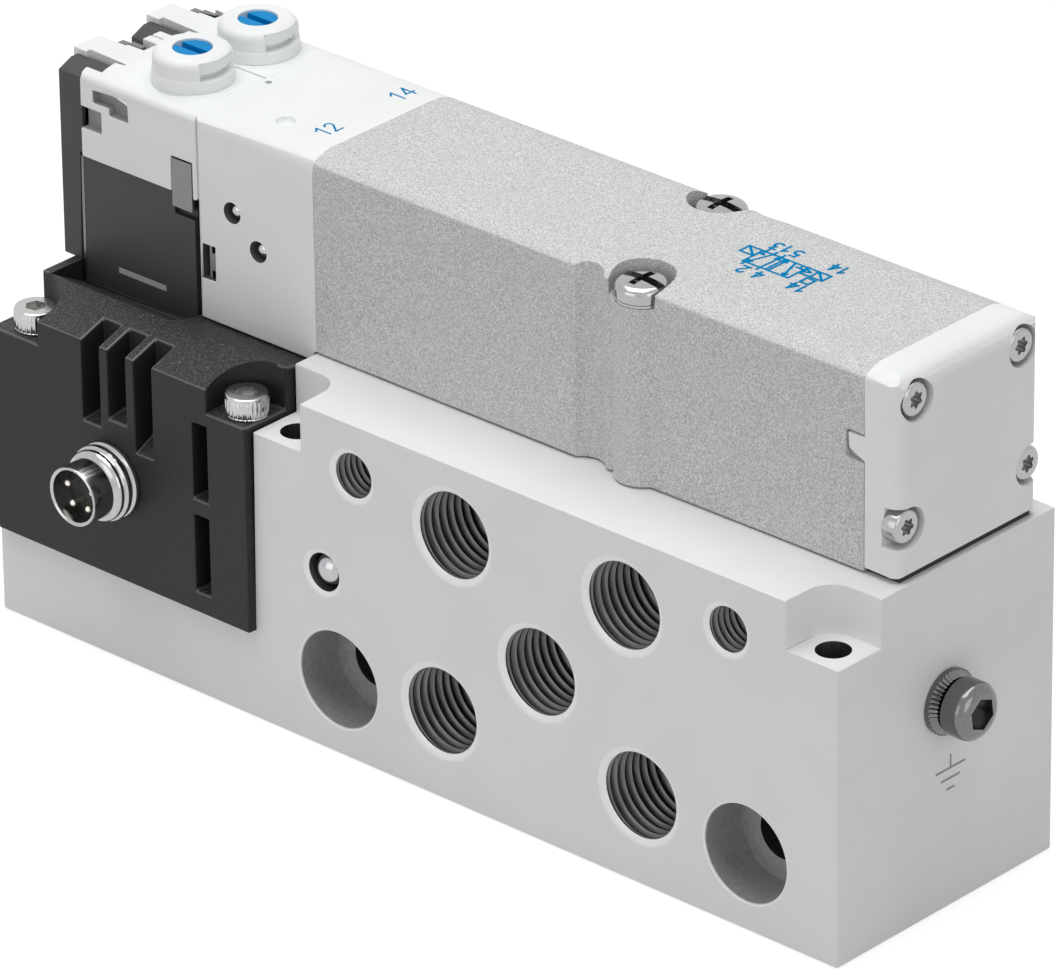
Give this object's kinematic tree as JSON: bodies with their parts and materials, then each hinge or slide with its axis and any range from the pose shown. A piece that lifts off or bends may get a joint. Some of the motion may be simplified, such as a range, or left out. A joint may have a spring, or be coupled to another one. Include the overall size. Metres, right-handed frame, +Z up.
{
  "type": "pneumatic solenoid valve",
  "caption": "Electrically piloted spool valve on a block sub-base with threaded side ports, push-and-turn manual overrides and a round plug connector.",
  "frame": {"origin": "centre of the block's flat underside", "axes": "+X along the valve from the plug end to the end cap, -Y out of the port face, +Z up"},
  "size_m": [0.1476, 0.0484, 0.0786],
  "materials": {
    "anodised_block": "fine matte anodised",
    "cast_body": "bead-blasted die casting",
    "white_plastic": "smooth satin",
    "black_housing": "fine spark-eroded grain",
    "coil_plastic": "smooth satin",
    "plated_steel": "bright zinc plated",
    "bright_steel": "polished nickel",
    "gold_contact": "gold plated",
    "spring_steel": "rolled strip and wire",
    "magnetic_steel": "ground",
    "spool_metal": "turned",
    "grey_plastic": "moulded",
    "seal_rubber": "smooth moulded",
    "blue_plastic": "satin"
  },
  "bodies": {
    "valve": {"sub_base": "anodised_block", "gallery_ball": "bright_steel", "earth_screw": "plated_steel", "earth_washer": "plated_steel", "plug_housing": "black_housing", "housing_screws": "plated_steel", "connector_shell": "bright_steel", "connector_insert": "coil_plastic", "contact_pins": "gold_contact", "port_gasket": "seal_rubber", "valve_body": "cast_body", "valve_screws": "plated_steel", "end_cap": "white_plastic", "end_cap_seal": "seal_rubber", "end_cap_screws": "plated_steel", "pilot_block": "white_plastic", "pilot_seal": "seal_rubber", "pilot_balls": "bright_steel", "pilot_latch": "spring_steel", "head_12": "white_plastic", "head_14": "white_plastic", "coil_12": "coil_plastic", "coil_14": "coil_plastic", "yoke_12": "spring_steel", "yoke_14": "spring_steel", "core_12": "magnetic_steel", "core_14": "magnetic_steel", "armature_spring_12": "spring_steel", "armature_spring_14": "spring_steel", "coil_plug_12": "coil_plastic", "coil_plug_14": "coil_plastic", "side_clip_12": "spring_steel", "side_clip_14": "spring_steel", "top_clip_12": "spring_steel", "top_clip_14": "spring_steel", "turret_12": "white_plastic", "turret_14": "white_plastic", "button_spring_12": "spring_steel", "button_spring_14": "spring_steel"},
    "spool_set": {"spool": "spool_metal", "spool_seals": "seal_rubber", "piston_12": "grey_plastic", "piston_14": "grey_plastic", "piston_seals": "seal_rubber"},
    "armature_set_12": {"armature_12": "magnetic_steel"},
    "armature_set_14": {"armature_14": "magnetic_steel"},
    "plunger_12": {"push_pin_12": "magnetic_steel"},
    "plunger_14": {"push_pin_14": "magnetic_steel"},
    "knob_12": {"button_12": "blue_plastic"},
    "knob_14": {"button_14": "blue_plastic"}
  },
  "joints": [
    {"name": "spool_shift", "type": "slide", "parent": "valve", "child": "spool_set", "axis": [1, 0, 0], "range_m": [0, 0.0036]},
    {"name": "armature_12_lift", "type": "slide", "parent": "valve", "child": "armature_set_12", "axis": [0, 0, -1], "range_m": [0, 0.0005], "stiffness_N_per_m": 800, "springref_m": -0.002, "deforming": ["armature_spring_12"]},
    {"name": "override_12_push", "type": "slide", "parent": "valve", "child": "plunger_12", "axis": [0, 0, -1], "range_m": [0, 0.001], "stiffness_N_per_m": 500, "springref_m": -0.002, "deforming": ["button_spring_12"]},
    {"name": "override_12_turn", "type": "hinge", "parent": "plunger_12", "child": "knob_12", "pos_m": [-0.0522, -0.0015, 0.074], "axis": [0, 0, 1], "range_deg": [0, 90]},
    {"name": "armature_14_lift", "type": "slide", "parent": "valve", "child": "armature_set_14", "axis": [0, 0, -1], "range_m": [0, 0.0005], "stiffness_N_per_m": 800, "springref_m": -0.002, "deforming": ["armature_spring_14"]},
    {"name": "override_14_push", "type": "slide", "parent": "valve", "child": "plunger_14", "axis": [0, 0, -1], "range_m": [0, 0.001], "stiffness_N_per_m": 500, "springref_m": -0.002, "deforming": ["button_spring_14"]},
    {"name": "override_14_turn", "type": "hinge", "parent": "plunger_14", "child": "knob_14", "pos_m": [-0.0522, 0.0103, 0.074], "axis": [0, 0, 1], "range_deg": [0, 90]}
  ]
}
